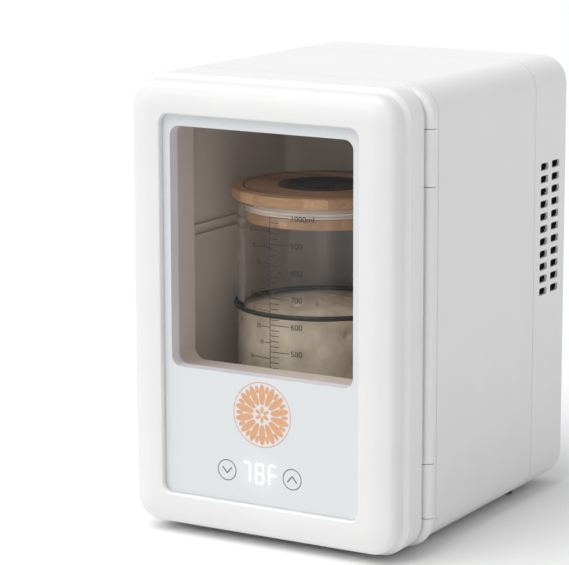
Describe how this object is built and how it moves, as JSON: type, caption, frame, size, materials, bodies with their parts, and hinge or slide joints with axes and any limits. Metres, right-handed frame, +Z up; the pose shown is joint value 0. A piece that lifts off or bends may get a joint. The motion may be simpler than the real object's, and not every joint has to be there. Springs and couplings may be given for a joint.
{
  "type": "sourdough starter warmer",
  "caption": "Small countertop cabinet with a hinged glass door, heated and cooled by a fan-backed module, holding a lidded jar.",
  "frame": {"origin": "centre of the whole object's footprint, on the surface it stands on", "axes": "+Z up, -Y out of the door's front, +X towards the hinge side"},
  "size_m": [0.181, 0.219, 0.267],
  "materials": {
    "white_casing": "smooth moulded plastic with a soft gloss",
    "tinted_glass": "polished tinted glass",
    "panel_ink": "pale print behind the glass",
    "spacer_plastic": "satin",
    "clear_glass": "polished clear glass",
    "liner_plastic": "satin moulded plastic",
    "foam": "rigid insulating foam",
    "filter_foam": "open-cell black foam sheet",
    "seal_rubber": "soft grey rubber",
    "black_rubber": "matt black rubber",
    "clear_silicone": "translucent silicone",
    "bare_steel": "plated steel",
    "brass": "plain brass",
    "aluminium": "extruded and milled",
    "ceramic": "white ceramic faces",
    "copper": "enamelled copper winding",
    "circuit_board": "green solder mask",
    "black_plastic": "satin moulded plastic",
    "starter": "wet bubbly dough",
    "bamboo": "oiled bamboo"
  },
  "bodies": {
    "cabinet": {"front_collar": "white_casing", "cabinet_shell": "white_casing", "rear_cover": "white_casing", "jar_glass": "clear_glass", "chamber_liner": "liner_plastic", "insulation_foam": "foam", "vent_screens": "filter_foam", "feet": "black_rubber", "catch_plates": "bare_steel", "hinge_pins": "bare_steel", "fan_screws": "bare_steel", "rear_cover_screws": "bare_steel", "fan_bearing": "brass", "inlet_pins": "brass", "temperature_sensor": "bare_steel", "mounting_plate": "bare_steel", "cold_plate": "aluminium", "transfer_block": "aluminium", "heat_sink": "aluminium", "peltier_module": "ceramic", "fan_stator": "copper", "power_board": "circuit_board", "board_parts": "black_plastic", "fan_frame": "black_plastic", "ac_inlet": "black_plastic", "starter_dough": "starter"},
    "door": {"door_frame": "white_casing", "glass_panel": "clear_glass", "mask_print": "panel_ink", "window_spacer": "spacer_plastic", "inner_pane": "tinted_glass", "door_liner": "white_casing", "door_insulation": "foam", "door_gasket": "seal_rubber", "door_magnets": "bare_steel", "display_board": "circuit_board", "digit_display": "black_plastic", "touch_pads": "black_plastic", "door_screws": "bare_steel"},
    "fan": {"fan_rotor": "black_plastic"},
    "lid": {"jar_lid": "bamboo", "lid_seal": "clear_silicone", "lid_insert": "black_plastic"},
    "band": {"marker_band": "black_rubber"}
  },
  "joints": [
    {"name": "door_hinge", "type": "hinge", "parent": "cabinet", "child": "door", "pos_m": [0.0865, -0.0721, 0], "axis": [0, 0, 1], "range_deg": [0, 120]},
    {"name": "fan_spin", "type": "hinge", "parent": "cabinet", "child": "fan", "pos_m": [-0.002, 0.098, 0.14], "axis": [0, 1, 0], "continuous": true},
    {"name": "lid_lift", "type": "slide", "parent": "cabinet", "child": "lid", "axis": [0, 0, 1], "range_m": [0, 0.045]},
    {"name": "band_slide", "type": "slide", "parent": "cabinet", "child": "band", "axis": [0, 0, 1], "range_m": [-0.09, 0.055]}
  ]
}
